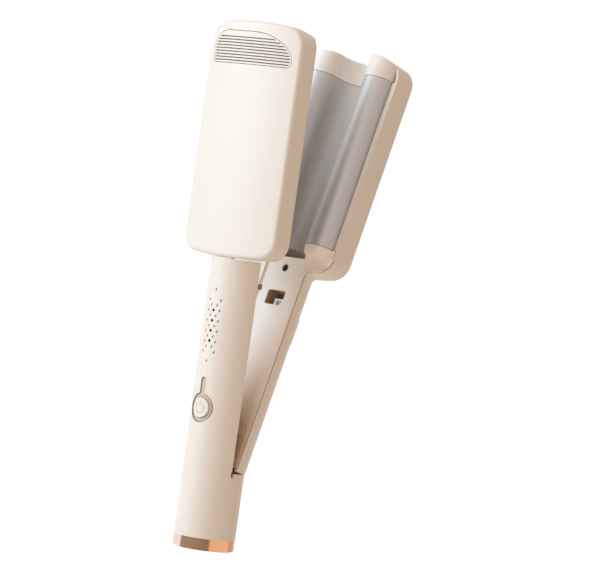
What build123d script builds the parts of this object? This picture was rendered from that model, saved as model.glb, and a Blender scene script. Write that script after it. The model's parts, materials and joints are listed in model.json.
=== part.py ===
"""Deep-wave hair styler: a front arm with a round handle and a back arm on a hinge.

Millimetres. Z runs up the front handle, -Y is the front face, X is the width. The origin is the
centre of the base underside. The back arm is drawn in the closed pose and swung to its open pose.
"""

import math
import os

from build123d import *

os.makedirs("parts", exist_ok=True)

# fits between neighbouring pieces
fit_gap = 0.3
press_gap = 0.1
running_gap = 0.06

# handle and base
handle_radius = 17.7
handle_wall = 2.2
ring_height = 6.8
plug_top = 12.0
plug_floor = 2.5
base_top = 44.8
front_edge_y = -2.6
swing_gap = 0.3

# paddles
paddle_width = 72.4
paddle_bottom = 165.8
paddle_top = 300.2
paddle_wall = 1.6
top_drop = 3.1
bottom_rise = 2.5
top_corner = 12.0
bottom_corner = 11.0
front_rim_y = -1.2
front_crown = 18.2
dome_radius = 130.0
front_edge_round = 2.2
back_rim_y = 0.2
back_edge_round = 4.5
neck_round = 3.0
lip_drop = 0.4
lip_thickness = 1.6

# hinge
hinge_y = 6.0
hinge_z = 43.6
opening_angle = 16.2
pin_radius = 2.0
lug_radius = 5.0
lug_half_width = 6.6
lug_slot_half = 3.6
ear_thickness = 2.2
bracket_z = 24.0
bracket_thickness = 2.0

# wave
ridge_radius = 9.9
side_margin = 3.9
wave_axis_y = 1.25
jaw_gap = 1.0
plate_thickness = 1.0
bottom_cap_height = 15.8
top_cap_height = 14.1
skirt_end_y = 11.0
flange_y = -2.0
seam_gap = 0.3

# derived levels
handle_bore = handle_radius - handle_wall
plug_radius = handle_radius - 3.3
plug_bore = plug_radius - 1.8
keeper_y = handle_bore - 2.5
half_width = paddle_width / 2
ridge_pitch = half_width - side_margin - ridge_radius
valley_radius = ridge_pitch - ridge_radius
plate_bottom = paddle_bottom + bottom_cap_height
plate_top = paddle_top - top_cap_height
plate_length = plate_top - plate_bottom
above = paddle_top + 20
beyond = paddle_width
back_inside_y = wave_axis_y + valley_radius + plate_thickness + fit_gap
back_rear_y = back_inside_y + paddle_wall
front_ridge = valley_radius - jaw_gap
front_valley = ridge_radius + jaw_gap
cap_inset = paddle_wall + fit_gap
paddle_height = paddle_top - paddle_bottom

# button and lights
button_z = 79.9
button_radius = 5.75
plate_circle = 8.4
groove_width = 3.8
groove_top = 97.4
plate_recess = 0.6
button_travel = 0.6
button_gap = 0.25
plate_gap = 0.3
led_pitch = 5.8
led_first_z = 117.95
led_radius = 0.8

# boards and cells
board_front_y = 6.2 - handle_radius
board_thickness = 1.2
board_half_width = 8.0
board_bottom = 62.0
board_top = paddle_bottom - 13.8
plate_back_y = 4.5 - handle_radius
switch_size = 6.0
switch_height = 2.4
plunger_height = 0.7
switch_top_y = board_front_y - switch_height - plunger_height
key_low = button_z - 20
key_span = groove_top - button_z + 28
cell_half_width = handle_radius - 6.4
cell_thickness = 4.8
cover_front_y = -4.8
cover_back_y = -2.8
cover_half_width = handle_bore - 0.9

# latch
hook_half_width = 6.2
hook_below_paddle = 15.8
hook_thickness = 3.1
hook_bottom = paddle_bottom - hook_below_paddle
hook_top = hook_bottom + hook_thickness
hook_tip_y = 12.2
notch_depth = 2.2
lock_travel = 2.2
catch_half_width = 3.8
neck_height = 7.8
neck_bottom = hook_bottom - 18.6
neck_top_z = neck_bottom + neck_height
slot_half = 2.5
catch_gap = 0.4
catch_height = 8.2
catch_top = hook_bottom - catch_gap
catch_low = catch_top - catch_height
pad_half_width = 6.0
pad_height = 16.0
pad_thickness = 2.2
catch_front_y = 4.6
catch_back_y = 8.4
notch_near_y = catch_front_y - fit_gap
notch_far_y = catch_back_y + fit_gap

# back inner cover
cover_face_y = -0.8
cover_floor_y = 0.5
cover_floor_thickness = 1.6
cover_low = base_top + 3.2
flange_thickness = 0.7
channel_half = handle_radius - 4.7
channel_top = 78.5
recess_half = handle_radius - 2.7
recess_taper = 32.0
window_half = hook_half_width + 0.7
window_bottom = hook_bottom - 5.2
window_top = hook_top + 0.5
window_round = 1.0
screw_z = paddle_bottom + 1.6
screw_recess = 2.2
channel_floor_y = 3.2
channel_wall = 1.2
bullet_length = 7.9
bullet_round = 7.0
corner_seam_z = paddle_bottom + 10.2

# vent
vent_width = paddle_width - 10.2
vent_top = paddle_top - 6.0
vent_bottom = vent_top - 19.0
vent_left_arch = (13.0, 10.0)
vent_right_arch = (29.0, 15.5)
vent_bottom_round = 3.0
vent_gap = 0.35
slot_count = 9
slot_pitch = (vent_top - vent_bottom - 3.8) / slot_count
slot_height = 0.66
slot_margin = 1.1
filter_thickness = 0.6

# heating
heater_start = plate_bottom + 2.4
heater_end = plate_top - 2.5
ceramic_start = heater_start + 16
ceramic_end = heater_end - 15.6
ceramic_thickness = 2.0
clamp_thickness = 0.8
post_low = ceramic_start + 5
post_high = ceramic_end - 5
clamp_overhang = 8.0
cutout_length = 12.0
cutout_low = (post_low + post_high - cutout_length) / 2
post_radius = 3.0
clamp_y = -0.8
back_clamp_y = 3.3
screw_seat_y = 6.0


def at_depth(y):
    """Plane across the width at depth y; a positive extrusion from it runs to the front."""
    return Plane.XZ.offset(-y)


def block(x_span, y_span, z_span, mode=Mode.ADD):
    """Box between its lower and upper limits along X, Y and Z."""
    with Locations((x_span[0], y_span[0], z_span[0])):
        Box(
            x_span[1] - x_span[0],
            y_span[1] - y_span[0],
            z_span[1] - z_span[0],
            align=(Align.MIN, Align.MIN, Align.MIN),
            mode=mode,
        )


def rod_y(x, z, radius, y_span, mode=Mode.ADD):
    """Cylinder along Y between two depths."""
    with Locations((x, (y_span[0] + y_span[1]) / 2, z)):
        Cylinder(radius, y_span[1] - y_span[0], rotation=(90, 0, 0), mode=mode)


def rod_x(y, z, radius, x_span, mode=Mode.ADD):
    """Cylinder along X between two limits."""
    with Locations(((x_span[0] + x_span[1]) / 2, y, z)):
        Cylinder(radius, x_span[1] - x_span[0], rotation=(0, 90, 0), mode=mode)


def rod_z(x, y, radius, z_span, mode=Mode.ADD):
    """Cylinder along Z between two heights."""
    with Locations((x, y, z_span[0])):
        Cylinder(
            radius,
            z_span[1] - z_span[0],
            align=(Align.CENTER, Align.CENTER, Align.MIN),
            mode=mode,
        )


def domed_rod(x, radius, z_span, end_round):
    """Upright rod on the wave axis with its lower end rounded."""
    with BuildPart() as rod:
        rod_z(x, wave_axis_y, radius, z_span)
        fillet(rod.edges().filter_by(GeomType.CIRCLE).sort_by(Axis.Z)[0], radius=end_round)
    return rod.part


def paddle_outline(plane, inset):
    """Paddle outline with arched ends, drawn in by inset all round."""
    half = half_width - inset
    top = paddle_top - inset
    bottom = paddle_bottom + inset
    with BuildSketch(plane) as outline:
        with BuildLine():
            Line((-half, bottom + bottom_rise), (-half, top - top_drop))
            ThreePointArc((-half, top - top_drop), (0, top), (half, top - top_drop))
            Line((half, top - top_drop), (half, bottom + bottom_rise))
            ThreePointArc((half, bottom + bottom_rise), (0, bottom), (-half, bottom + bottom_rise))
        make_face()
        fillet(outline.vertices().group_by(Axis.Y)[-1], radius=top_corner - inset)
        fillet(outline.vertices().group_by(Axis.Y)[0], radius=bottom_corner - inset)
    return outline.sketch


def domed_solid(inset, rim_y):
    """Front paddle block under the domed face, drawn in by inset."""
    with BuildPart() as body:
        extrude(paddle_outline(at_depth(rim_y), inset), amount=front_crown + rim_y)
        with BuildSketch(Plane.XY.offset(paddle_bottom)):
            with Locations((0, dome_radius - front_crown)):
                Circle(dome_radius - inset)
        extrude(amount=paddle_height, mode=Mode.INTERSECT)
    return body.part


def back_solid(inset, rim_y):
    """Back paddle block with a rounded rear edge, drawn in by inset."""
    rear = back_rear_y - inset
    with BuildPart() as body:
        extrude(paddle_outline(at_depth(rear), inset), amount=rear - rim_y)
        fillet(body.faces().sort_by(Axis.Y)[-1].edges(), radius=back_edge_round - inset)
    return body.part


def back_wave(plane, depth, end_y):
    """Outline of the back wave drawn in by depth, closed straight at end_y."""
    edge = ridge_pitch + ridge_radius - depth
    inner = ridge_pitch - ridge_radius + depth
    mid = wave_axis_y
    crest = mid - ridge_radius + depth
    with BuildSketch(plane) as wave:
        with BuildLine():
            Line((-edge, end_y), (-edge, mid))
            ThreePointArc((-edge, mid), (-ridge_pitch, crest), (-inner, mid))
            ThreePointArc((-inner, mid), (0, mid + inner), (inner, mid))
            ThreePointArc((inner, mid), (ridge_pitch, crest), (edge, mid))
            Line((edge, mid), (edge, end_y))
            Line((edge, end_y), (-edge, end_y))
        make_face()
    return wave.sketch


def front_wave(plane, depth, end_y, edge_x):
    """Outline of the front wave drawn in by depth, closed straight at end_y."""
    level = flange_y - depth
    valley = front_valley + depth
    inner = ridge_pitch - valley
    drop = wave_axis_y - level
    reach = math.sqrt(valley**2 - drop**2)
    mid = wave_axis_y
    floor = mid - valley
    with BuildSketch(plane) as wave:
        with BuildLine():
            Line((-edge_x, end_y), (-edge_x, level))
            Line((-edge_x, level), (-ridge_pitch - reach, level))
            ThreePointArc((-ridge_pitch - reach, level), (-ridge_pitch, floor), (-inner, mid))
            ThreePointArc((-inner, mid), (0, mid + inner), (inner, mid))
            ThreePointArc((inner, mid), (ridge_pitch, floor), (ridge_pitch + reach, level))
            Line((ridge_pitch + reach, level), (edge_x, level))
            Line((edge_x, level), (edge_x, end_y))
            Line((edge_x, end_y), (-edge_x, end_y))
        make_face()
    return wave.sketch


def keyhole(plane, margin):
    """Keyhole outline of the button plate, grown by margin."""
    with BuildSketch(plane) as outline:
        with Locations((0, button_z)):
            Circle(plate_circle + margin)
        with Locations((0, button_z)):
            Rectangle(
                groove_width + 2 * margin,
                groove_top - groove_width / 2 - button_z,
                align=(Align.CENTER, Align.MIN),
            )
        with Locations((0, groove_top - groove_width / 2)):
            Circle(groove_width / 2 + margin)
    return outline.sketch


def vent_outline(plane, margin):
    """Outline of the vent with a long arch to the right and a short one to the left, grown by margin."""
    edge = vent_width / 2 + margin
    low = vent_bottom - margin
    left_x, left_z = vent_left_arch
    right_x, right_z = vent_right_arch
    left = (left_x - vent_width / 2, vent_top - left_z)
    right = (vent_width / 2 - right_x, vent_top - right_z)
    with BuildSketch(plane) as outline:
        with BuildLine():
            Line((left[0], vent_top + margin), (right[0], vent_top + margin))
            EllipticalCenterArc(right, right_x + margin, right_z + margin, 0, arc_size=90)
            Line((edge, right[1]), (edge, low))
            Line((edge, low), (-edge, low))
            Line((-edge, low), (-edge, left[1]))
            EllipticalCenterArc(left, left_x + margin, left_z + margin, 90, arc_size=90)
        make_face()
        fillet(outline.vertices().group_by(Axis.Y)[0], radius=vent_bottom_round + margin)
    return outline.sketch


def channel_outline(plane, margin):
    """Round-topped outline of the channel over the hinge, grown by margin."""
    reach = channel_half + margin
    with BuildSketch(plane) as outline:
        with Locations((0, channel_top - channel_half)):
            Circle(reach)
            Rectangle(2 * reach, channel_top - channel_half - cover_low, align=(Align.CENTER, Align.MAX))
    return outline.sketch


# front arm: handle shell with the round base section
with BuildPart() as front_handle_shell:
    with BuildSketch(Plane.XY.offset(ring_height)):
        Circle(handle_radius)
        Circle(handle_bore, mode=Mode.SUBTRACT)
    extrude(amount=base_top - ring_height)
    with BuildSketch(Plane.XY.offset(base_top)):
        Circle(handle_radius)
        Circle(handle_bore, mode=Mode.SUBTRACT)
        with Locations((0, front_edge_y)):
            Rectangle(
                3 * handle_radius,
                2 * handle_radius,
                align=(Align.CENTER, Align.MAX),
                mode=Mode.INTERSECT,
            )
    extrude(amount=paddle_bottom - fit_gap - base_top)
    # inner ledge under the hinge bracket
    with BuildSketch(Plane.XY.offset(bracket_z - 2)):
        Circle(handle_bore + 0.2)
        Circle(handle_bore - 1.2, mode=Mode.SUBTRACT)
    extrude(amount=2)
    # tongue that carries the paddle
    tongue_front = -(front_crown - paddle_wall - fit_gap)
    block((-7, 7), (tongue_front, tongue_front + 2.6), (paddle_bottom - 15.8, plate_bottom - 1.6))
    # posts for the board
    rod_y(0, groove_top + 6.6, 2.2, (-handle_bore - 0.4, board_front_y))
    rod_y(0, board_top - 5, 2.2, (-handle_bore - 0.4, board_front_y))
    # openings for button, lights and the relief beside the arm
    extrude(keyhole(at_depth(-handle_bore / 2), 0), amount=handle_radius, mode=Mode.SUBTRACT)
    for index in range(4):
        height = led_first_z + index * led_pitch
        hole_span = (-handle_radius - 1.3, plate_back_y - 0.8)
        rod_y(0, height, led_radius + press_gap, hole_span, mode=Mode.SUBTRACT)
    for side in (-1, 1):
        block(
            sorted((side * (handle_bore - 0.6), side * (handle_radius + 1.3))),
            (front_edge_y - 0.5, cover_face_y + 0.1),
            (base_top - 2.2, base_top + 1.2),
            mode=Mode.SUBTRACT,
        )

# base: plug with the charging slot, ring, socket and board
with BuildPart() as base_cap:
    rod_z(0, 0, plug_radius, (0, plug_top))
    rod_z(0, 0, handle_bore - press_gap, (ring_height, plug_top))
    rod_z(0, 0, plug_bore, (plug_floor, plug_top + 1), mode=Mode.SUBTRACT)
    block((-4.8, 4.8), (4.2, 7.8), (-1, 3), mode=Mode.SUBTRACT)

with BuildPart() as base_ring:
    with BuildSketch():
        Circle(handle_radius - 0.1)
        Circle(plug_radius + press_gap, mode=Mode.SUBTRACT)
    extrude(amount=ring_height)
    outer_edges = base_ring.edges().filter_by(GeomType.CIRCLE).sort_by(Axis.Z)[:2]
    chamfer(outer_edges.sort_by(SortBy.RADIUS)[-1], length=0.7)

with BuildPart() as usb_socket:
    block((-4.5, 4.5), (4.4, 7.6), (0.8, 8.4))
    fillet(usb_socket.edges().filter_by(Axis.Z), radius=1.4)
    block((-4.1, 4.1), (4.8, 7.2), (0, 7.6), mode=Mode.SUBTRACT)
    block((-3.3, 3.3), (5.65, 6.35), (2.2, 7.7))

with BuildPart() as charge_board:
    charge_back_y = 8.8
    charge_half = math.sqrt(plug_bore**2 - (charge_back_y + 0.6) ** 2)
    block((-charge_half, charge_half), (7.6, charge_back_y), (plug_floor, 21))
    block((-3.5, 0.5), (charge_back_y, charge_back_y + 1.2), (12, 17))
    block((2, 5), (charge_back_y, charge_back_y + 1.0), (8, 11))

# hinge: bracket, pin and spring
ear_inner = lug_half_width + 0.4
ear_outer = ear_inner + ear_thickness
with BuildPart() as hinge_bracket:
    rod_z(0, 0, handle_bore - press_gap, (bracket_z, bracket_z + bracket_thickness))
    with BuildSketch(Plane.YZ.offset(-ear_outer)):
        with Locations((hinge_y, hinge_z)):
            Circle(lug_radius)
        with Locations((hinge_y, bracket_z)):
            Rectangle(2 * lug_radius, hinge_z - bracket_z, align=(Align.CENTER, Align.MIN))
    extrude(amount=2 * ear_outer)
    block(
        (-ear_inner, ear_inner),
        (hinge_y - 7, hinge_y + 9),
        (bracket_z + bracket_thickness, hinge_z + 16.4),
        mode=Mode.SUBTRACT,
    )
    rod_x(hinge_y, hinge_z, pin_radius + press_gap / 2, (-12, 12), mode=Mode.SUBTRACT)
    block((-4, 4), (-11, -5), (bracket_z - 1, bracket_z + 4), mode=Mode.SUBTRACT)

with BuildPart() as hinge_pin:
    rod_x(hinge_y, hinge_z, pin_radius, (-ear_outer - 0.2, ear_outer + 0.2))
    rod_x(hinge_y, hinge_z, pin_radius + 1.2, (ear_outer, ear_outer + 1.2))

spring_radius = 3.3
spring_wire = 0.45
spring_half = 2.7
with BuildPart() as hinge_spring:
    with BuildLine(mode=Mode.PRIVATE) as coil:
        Helix(
            pitch=1.2,
            height=2 * spring_half,
            radius=spring_radius,
            center=(-spring_half, hinge_y, hinge_z),
            direction=(1, 0, 0),
        )
    with BuildSketch(Plane(coil.line @ 0, z_dir=coil.line % 0)):
        Circle(spring_wire)
    sweep(path=coil.line, is_frenet=True)

# electronics in the handle
board_back_y = board_front_y + board_thickness
with BuildPart() as control_board:
    block((-board_half_width, board_half_width), (board_front_y, board_back_y), (board_bottom, board_top))
    for index in range(4):
        height = led_first_z + index * led_pitch
        block((-0.9, 0.9), (board_front_y - 0.7, board_front_y), (height - 0.6, height + 0.6))
    block((-6.5, -2.5), (board_front_y - 1.1, board_front_y), (button_z + 11.1, button_z + 18.1))
    block((3, 6), (board_front_y - 1.3, board_front_y), (groove_top + 8.6, groove_top + 14.6))

with BuildPart() as tact_switch:
    half_switch = switch_size / 2
    switch_span = (button_z - half_switch, button_z + half_switch)
    block((-half_switch, half_switch), (board_front_y - switch_height, board_front_y), switch_span)
    rod_y(0, button_z, 1.6, (switch_top_y, board_front_y - switch_height))

with BuildPart() as light_pipes:
    bar_top = led_first_z + 3 * led_pitch + 1.6
    block((-1.4, 1.4), (-handle_bore + 0.15, board_front_y - 0.9), (led_first_z - 1.6, bar_top))
    for index in range(4):
        rod_y(0, led_first_z + index * led_pitch, led_radius, (-handle_radius + 0.1, board_front_y - 3))

with BuildPart() as front_cell:
    cell_back_y = cover_front_y - 0.5
    block(
        (-cell_half_width, cell_half_width),
        (board_back_y + seam_gap, cell_back_y),
        (board_bottom + 2, hook_bottom - 21.6),
    )
    fillet(front_cell.edges().filter_by(Axis.Z), radius=1.5)

with BuildPart() as keyhole_plug:
    extrude(keyhole(at_depth(plate_back_y), -plate_gap), amount=6)
    with BuildSketch(Plane.XY.offset(key_low)):
        Circle(handle_radius - plate_recess)
    extrude(amount=key_span, mode=Mode.INTERSECT)

with BuildPart() as button_plate:
    block((-6.5, 6.5), (-handle_bore - 0.5, plate_back_y), (button_z - 11.9, groove_top + 3.1))
    with BuildSketch(Plane.XY.offset(key_low)):
        Circle(handle_bore - press_gap / 2)
    extrude(amount=key_span, mode=Mode.INTERSECT)
    add(keyhole_plug.part)
    hole_span = (-handle_radius - 2.3, plate_back_y + 3.2)
    rod_y(0, button_z, button_radius + button_gap, hole_span, mode=Mode.SUBTRACT)

# power button: curved cap, hollow skirt round the switch, keeper behind the plate
with BuildPart() as power_button:
    rod_y(0, button_z, button_radius, (-handle_radius - 1.3, board_front_y - button_travel - fit_gap))
    with BuildSketch(Plane.XY.offset(key_low)):
        Circle(handle_radius + 0.2)
    extrude(amount=key_span, mode=Mode.INTERSECT)
    rod_y(0, button_z, button_radius + 0.9, (plate_back_y + fit_gap, plate_back_y + fit_gap + 0.5))
    hollow_span = (switch_top_y - button_travel - fit_gap, board_front_y - 0.5)
    rod_y(0, button_z, 4.7, hollow_span, mode=Mode.SUBTRACT)

# front arm: inner cover and latch hook
with BuildPart() as front_inner_cover:
    block(
        (-cover_half_width, cover_half_width),
        (cover_front_y, cover_back_y),
        (base_top + 2.2, paddle_bottom - 0.6),
    )
    fillet(front_inner_cover.edges().filter_by(Axis.Y), radius=1.5)
    hook_side = hook_half_width + press_gap
    hook_span = (hook_bottom - press_gap, hook_top + press_gap)
    block((-hook_side, hook_side), (cover_front_y - 1, 0), hook_span, mode=Mode.SUBTRACT)

with BuildPart() as latch_hook:
    foot_half = hook_half_width + 2
    foot_span = (hook_bottom - 4.6, hook_top + 4.5)
    block((-foot_half, foot_half), (cover_front_y - 1.4, cover_front_y), foot_span)
    block((-hook_half_width, hook_half_width), (cover_front_y, hook_tip_y), (hook_bottom, hook_top))
    notch_top = hook_bottom + notch_depth
    notch_half = catch_half_width + 0.8
    notch_span = (hook_bottom - 1, notch_top)
    block((-notch_half, notch_half), (notch_near_y, notch_far_y), notch_span, mode=Mode.SUBTRACT)

# front paddle
with BuildPart() as front_paddle:
    add(domed_solid(0, front_rim_y))
    fillet(front_paddle.faces().sort_by(Axis.Y)[0].edges(), radius=front_edge_round)
    add(domed_solid(paddle_wall, front_rim_y), mode=Mode.SUBTRACT)
    # opening for the tongue of the handle
    block(
        (-7.2, 7.2),
        (tongue_front - 0.1, tongue_front + 3),
        (paddle_bottom - 1, paddle_bottom + paddle_wall + 1.5),
        mode=Mode.SUBTRACT,
    )
    # ledges under the flanges of the wave plate
    ledge_x = half_width - paddle_wall
    for side in (-1, 1):
        block(
            sorted((side * (ledge_x + 0.2), side * (ledge_x - 1.0))),
            (flange_y - plate_thickness - 2.5, flange_y - plate_thickness),
            (plate_bottom + 8.4, plate_top - 8.1),
        )
    # posts under the heater clamp
    for height in (post_low, post_high):
        rod_y(0, height, post_radius, (-front_crown + paddle_wall - 0.3, clamp_y))
    extrude(vent_outline(at_depth(-8), 0), amount=15, mode=Mode.SUBTRACT)
    # the valleys run out through the upper end
    for side in (-1, 1):
        rod_z(side * ridge_pitch, wave_axis_y, front_valley, (plate_top, above), mode=Mode.SUBTRACT)

with BuildPart() as vent_slots:
    for index in range(slot_count):
        height = vent_bottom + slot_pitch * (index + 1)
        block((-beyond, beyond), (-beyond, -8), (height - slot_height / 2, height + slot_height / 2))
    extrude(vent_outline(at_depth(-7), -slot_margin), amount=15, mode=Mode.INTERSECT)

with BuildPart() as vent_grille:
    add(domed_solid(0, -8))
    with BuildSketch(Plane.XY.offset(paddle_bottom)):
        with Locations((0, dome_radius - front_crown)):
            Circle(dome_radius - paddle_wall)
    extrude(amount=paddle_height, mode=Mode.SUBTRACT)
    extrude(vent_outline(at_depth(-8), -vent_gap), amount=15, mode=Mode.INTERSECT)
    add(vent_slots.part, mode=Mode.SUBTRACT)

with BuildPart() as vent_filter:
    filter_y = 1 - front_crown
    extrude(vent_outline(at_depth(filter_y + 6), 1.0), amount=20)
    with BuildSketch(Plane.XY.offset(paddle_bottom)):
        with Locations((0, dome_radius - front_crown)):
            Circle(dome_radius - paddle_wall - fit_gap)
            Circle(dome_radius - paddle_wall - fit_gap - filter_thickness, mode=Mode.SUBTRACT)
    extrude(amount=paddle_height, mode=Mode.INTERSECT)

# front wave plate and its end caps
cap_hollow_top = plate_top + 4.0
front_plate_edge = half_width - paddle_wall - fit_gap
with BuildPart() as front_plate_core:
    core_plane = Plane.XY.offset(plate_bottom - 1)
    extrude(front_wave(core_plane, plate_thickness, -14, half_width), amount=paddle_height)

with BuildPart() as front_wave_plate:
    plate_plane = Plane.XY.offset(plate_bottom)
    extrude(front_wave(plate_plane, 0, -14, front_plate_edge), amount=plate_length)
    add(front_plate_core.part, mode=Mode.SUBTRACT)

with BuildPart() as front_top_cap:
    extrude(front_wave(Plane.XY.offset(plate_top + seam_gap), 0, -11.5, half_width), amount=20)
    add(domed_solid(cap_inset, 20), mode=Mode.INTERSECT)
    hollow_radius = front_ridge - plate_thickness - 1
    rod_z(0, wave_axis_y, hollow_radius, (plate_top, cap_hollow_top), mode=Mode.SUBTRACT)

cap_end = plate_bottom - seam_gap
bullet_end = cap_end - bullet_length
with BuildPart() as front_bottom_cap:
    block((-half_width, half_width), (-11.5, flange_y), (paddle_bottom, cap_end))
    add(domed_solid(cap_inset, 20), mode=Mode.INTERSECT)
    for side in (-1, 1):
        valley_span = (bullet_end - jaw_gap, cap_end + 1)
        rod_z(side * ridge_pitch, wave_axis_y, front_valley, valley_span, mode=Mode.SUBTRACT)
    add(domed_rod(0, front_ridge, (bullet_end + 2, cap_end), 4.0))

# front heating: bar against the ridge, ceramic, clamp and cut-out
bar_flat_y = clamp_y + clamp_thickness + ceramic_thickness
with BuildPart() as front_heater_bar:
    rod_z(0, wave_axis_y, front_ridge - plate_thickness - press_gap, (heater_start, heater_end))
    block((-beyond, beyond), (-beyond, bar_flat_y), (heater_start - 1, heater_end + 1), mode=Mode.SUBTRACT)

with BuildPart() as front_ceramic:
    ceramic_half = front_ridge - 5.5
    depth_span = (bar_flat_y - ceramic_thickness, bar_flat_y)
    block((-ceramic_half, ceramic_half), depth_span, (ceramic_start, ceramic_end))

with BuildPart() as front_heater_clamp:
    clamp_span = (post_low - clamp_overhang, post_high + clamp_overhang)
    clamp_half = front_ridge - 3.5
    block((-clamp_half, clamp_half), (clamp_y, clamp_y + clamp_thickness), clamp_span)
    fillet(front_heater_clamp.edges().filter_by(Axis.Y), radius=3)

with BuildPart() as front_thermal_cutout:
    block((-3.5, 3.5), (clamp_y - 3, clamp_y), (cutout_low, cutout_low + cutout_length))
    fillet(front_thermal_cutout.edges().filter_by(Axis.Z), radius=0.8)

# back arm, drawn closed: shell with the handle half, the paddle and the hinge cheeks
open_slope = math.tan(math.radians(opening_angle))
cut_level = base_top + swing_gap
open_lift = 1 / math.cos(math.radians(opening_angle)) - 1
cut_far = cut_level + (20 - hinge_y) * open_slope + (cut_level - hinge_z) * open_lift
neck_top = paddle_bottom + 9
with BuildPart() as back_handle_solid:
    rod_z(0, 0, handle_radius, (base_top - 4, paddle_bottom + 1))
    with Locations((0, 0, paddle_bottom + 1)):
        Cone(
            handle_radius,
            handle_radius - 1.6,
            neck_top - paddle_bottom - 1,
            align=(Align.CENTER, Align.CENTER, Align.MIN),
        )
    block((-beyond, beyond), (-beyond, back_rim_y), (0, above), mode=Mode.SUBTRACT)

with BuildPart() as back_shell:
    add(back_solid(0, back_rim_y))
    add(back_handle_solid.part)
    # hollow corners where the handle runs into the paddle
    neck_half = 1.25 * handle_radius
    necks = back_shell.edges().filter_by_position(Axis.X, -neck_half, neck_half)
    necks = necks.filter_by_position(Axis.Y, back_rim_y + 0.1, back_rear_y + 0.1)
    fillet(necks.filter_by_position(Axis.Z, paddle_bottom + 0.1, paddle_bottom + 14), radius=neck_round)
    add(back_solid(paddle_wall, back_rim_y - 1), mode=Mode.SUBTRACT)
    # open end for the top cap
    cap_plane = Plane.XY.offset(plate_top + seam_gap)
    extrude(back_wave(cap_plane, -fit_gap, back_inside_y), amount=above - plate_top, mode=Mode.SUBTRACT)
    rod_z(0, wave_axis_y, valley_radius, (plate_top + seam_gap, above), mode=Mode.SUBTRACT)
    rod_z(0, 0, handle_bore, (base_top - 5, paddle_bottom + 3), mode=Mode.SUBTRACT)
    # lower end follows the top of the base in both end positions
    with BuildSketch(Plane.YZ.offset(-30)):
        with BuildLine():
            Polyline(
                (-30, base_top - 10),
                (-30, cut_level),
                (hinge_y, cut_level),
                (20, cut_far),
                (20, base_top - 10),
                (-30, base_top - 10),
            )
        make_face()
    extrude(amount=60, mode=Mode.SUBTRACT)
    # hinge cheeks
    with BuildSketch(Plane.YZ.offset(-lug_half_width)):
        with Locations((hinge_y, hinge_z)):
            Circle(lug_radius)
        with BuildLine():
            Polyline(
                (hinge_y - lug_radius, hinge_z),
                (hinge_y - lug_radius, hinge_z + 18.4),
                (hinge_y - lug_radius + 4, hinge_z + 22.4),
                (handle_bore - 0.1, hinge_z + 22.4),
                (handle_bore - 0.1, hinge_z + 7.4),
                (hinge_y + lug_radius, hinge_z + 3.9),
                (hinge_y + lug_radius, hinge_z),
                (hinge_y - lug_radius, hinge_z),
            )
        make_face()
    extrude(amount=2 * lug_half_width)
    block(
        (-lug_slot_half, lug_slot_half),
        (-2, hinge_y + 7.6),
        (hinge_z - 13.6, hinge_z + 20.4),
        mode=Mode.SUBTRACT,
    )
    rod_x(hinge_y, hinge_z, pin_radius + running_gap, (-20, 20), mode=Mode.SUBTRACT)
    # screw post, heater posts, rests for the skirts
    rod_y(0, screw_z, 3.2, (screw_seat_y, back_inside_y + 0.3))
    rod_y(0, screw_z, 1.05, (screw_seat_y - 1, screw_seat_y + 6.2), mode=Mode.SUBTRACT)
    for side in (-1, 1):
        for height in (post_low, post_high):
            rod_y(side * ridge_pitch, height, post_radius, (back_clamp_y, back_inside_y + 0.3))
        skirt_x = ridge_pitch + ridge_radius
        block(
            sorted((side * skirt_x, side * (skirt_x - plate_thickness))),
            (skirt_end_y, back_inside_y + 0.3),
            (plate_bottom + 8.4, plate_top - 8.1),
        )
    # lips that close the gap beside the ridges
    for side in (-1, 1):
        lip_x = (side * (half_width - side_margin + fit_gap), side * (half_width - paddle_wall + 0.2))
        lip_y = (back_rim_y + lip_drop, back_rim_y + lip_drop + lip_thickness)
        block(sorted(lip_x), lip_y, (plate_bottom + fit_gap, plate_top))
    # slot of the lock slider
    slot_span = (neck_bottom - fit_gap, neck_top_z + lock_travel + fit_gap)
    block((-slot_half, slot_half), (keeper_y - 1, handle_radius + 2.3), slot_span, mode=Mode.SUBTRACT)

# back inner cover: rim, sunk floor, ridge ends, window
with BuildPart() as cover_recess:
    recess_plane = Plane(origin=(0, cover_face_y, 0), x_dir=(-1, 0, 0), z_dir=(0, 1, 0))
    with BuildSketch(recess_plane):
        with Locations((0, base_top + 7)):
            Rectangle(2 * recess_half, paddle_bottom - base_top, align=(Align.CENTER, Align.MIN))
        with Locations((0, paddle_bottom + 3)):
            Rectangle(2 * (half_width - 3.2), paddle_height, align=(Align.CENTER, Align.MIN))
    extrude(amount=cover_floor_y - cover_face_y, taper=recess_taper)

with BuildPart() as cover_base:
    flange_back_y = cover_face_y + flange_thickness
    extrude(paddle_outline(at_depth(flange_back_y), 0), amount=flange_thickness)
    block((-half_width - 1, half_width + 1), (-5, 5), (corner_seam_z, above), mode=Mode.SUBTRACT)
    flange_half = handle_radius - 0.1
    block((-flange_half, flange_half), (cover_face_y, flange_back_y), (base_top + 1.7, paddle_bottom + 3))
    upright = cover_base.edges().filter_by(Axis.Y)
    fillet(upright.filter_by_position(Axis.Z, paddle_bottom - 1, paddle_bottom + 2), radius=neck_round)

with BuildPart() as cover_tray:
    extrude(paddle_outline(at_depth(cover_floor_y + cover_floor_thickness), cap_inset), amount=5)
    block((-beyond, beyond), (-10, 10), (cap_end, above), mode=Mode.SUBTRACT)
    block(
        (-cover_half_width, cover_half_width),
        (cover_face_y + 0.2, cover_floor_y + cover_floor_thickness),
        (cover_low, paddle_bottom + 4),
    )
    block((-beyond, beyond), (-10, cover_face_y + 0.2), (0, above), mode=Mode.SUBTRACT)

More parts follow.
